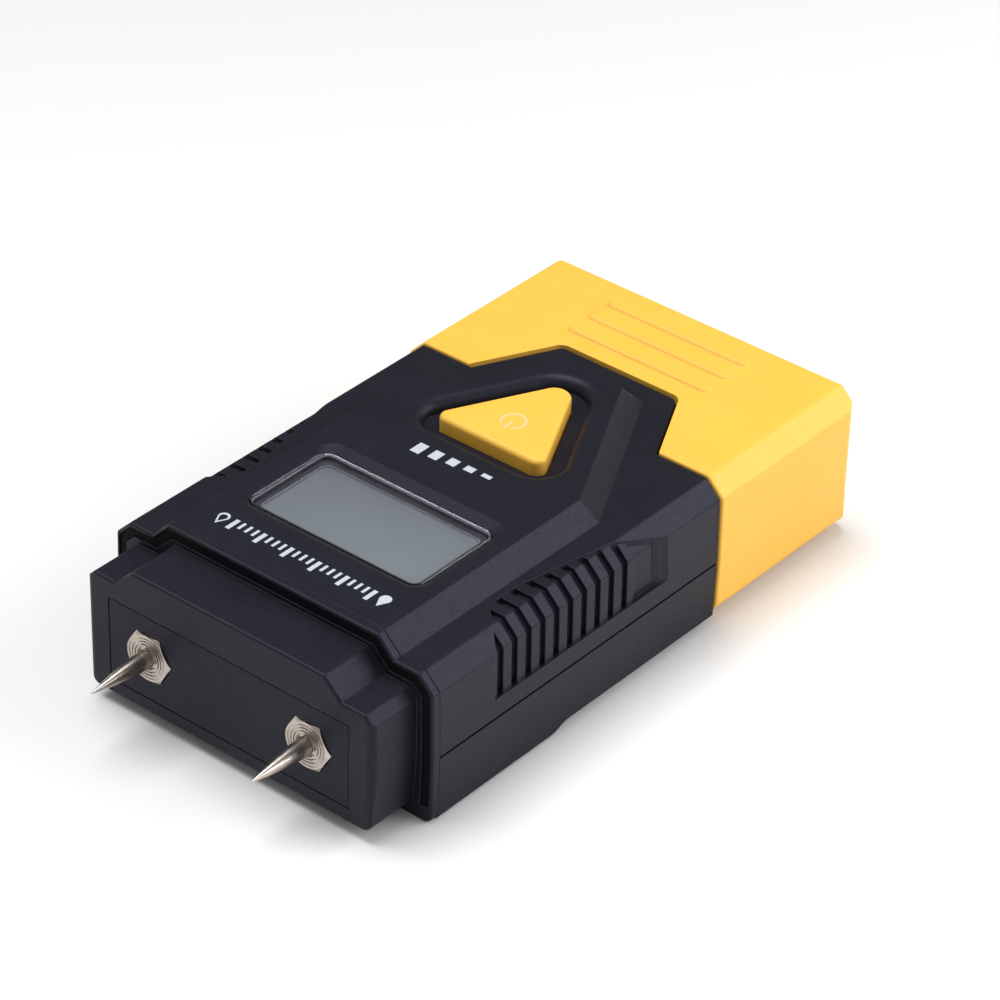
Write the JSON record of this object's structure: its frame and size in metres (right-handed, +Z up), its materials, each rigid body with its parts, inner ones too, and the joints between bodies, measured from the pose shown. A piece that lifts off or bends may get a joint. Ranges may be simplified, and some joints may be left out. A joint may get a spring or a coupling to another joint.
{
  "type": "pin moisture meter",
  "caption": "Hand-held moisture meter: black two-part case, needle electrodes at the nose, small display, triangular key and a yellow slip-on end cap.",
  "frame": {"origin": "centre of the overall footprint (needle tips to end cap), on the plane the meter rests on", "axes": "+X across the case to the user's right with the needles pointing away from the user's body along -Y, +Y towards the end cap, +Z up out of the display"},
  "size_m": [0.0626, 0.1222, 0.0292],
  "materials": {
    "black_plastic": "moulded ABS, fine satin texture",
    "yellow_plastic": "moulded ABS, satin, warm yellow",
    "plate_plastic": "moulded insulating plate, satin",
    "nickel_steel": "nickel-plated turned steel",
    "brass": "plated brass, dull",
    "tin_plate": "tinned steel",
    "clear_window": "clear acrylic, polished",
    "lcd_glass": "reflective display glass, grey-green",
    "lcd_film": "matt silvery film",
    "white_plastic": "moulded, natural white",
    "elastomer": "striped conductive elastomer",
    "board": "green solder mask on glass-epoxy",
    "chip_epoxy": "black moulding compound",
    "can_metal": "drawn can, satin",
    "buzzer_plastic": "black moulded case",
    "trimmer_blue": "blue moulded case",
    "screw_steel": "black-zinc steel",
    "battery_wrap": "printed metal jacket, no marks",
    "seal_rubber": "soft black seal, matt",
    "snap_vinyl": "soft black vinyl",
    "lead_red": "red insulation",
    "lead_black": "black insulation",
    "lead_blue": "blue insulation",
    "foam": "soft foam",
    "label_film": null
  },
  "bodies": {
    "housing": {"upper_shell": "black_plastic", "lower_shell": "black_plastic", "nose_block": "black_plastic", "cover_seal": "seal_rubber", "front_plate": "plate_plastic", "electrode_pin_left": "nickel_steel", "electrode_pin_right": "nickel_steel", "electrode_nuts": "brass", "contact_tags": "tin_plate", "electrode_lead_left": "lead_blue", "electrode_lead_right": "lead_red", "lens_window": "clear_window", "lcd_glass": "lcd_glass", "lcd_reflector": "lcd_film", "lcd_holder": "white_plastic", "zebra_strips": "elastomer", "tact_switch": "chip_epoxy", "circuit_board": "board", "main_chip": "chip_epoxy", "amplifier_chip": "chip_epoxy", "crystal_can": "can_metal", "capacitors": "can_metal", "trimmer": "trimmer_blue", "buzzer": "buzzer_plastic", "board_screws": "screw_steel", "case_screws": "screw_steel", "battery": "battery_wrap", "battery_snap": "snap_vinyl", "battery_lead_red": "lead_red", "battery_lead_black": "lead_black", "battery_pad": "foam", "rating_label": "label_film"},
    "key": {"key_button": "yellow_plastic", "switch_plunger": "white_plastic"},
    "cover": {"end_cap": "yellow_plastic"}
  },
  "joints": [
    {"name": "key_press", "type": "slide", "parent": "housing", "child": "key", "axis": [0, 0, -1], "range_m": [0, 0.0007], "stiffness_N_per_m": 900, "springref_m": -0.0006},
    {"name": "cap_pull", "type": "slide", "parent": "housing", "child": "cover", "axis": [0, 1, 0], "range_m": [0, 0.038]}
  ]
}
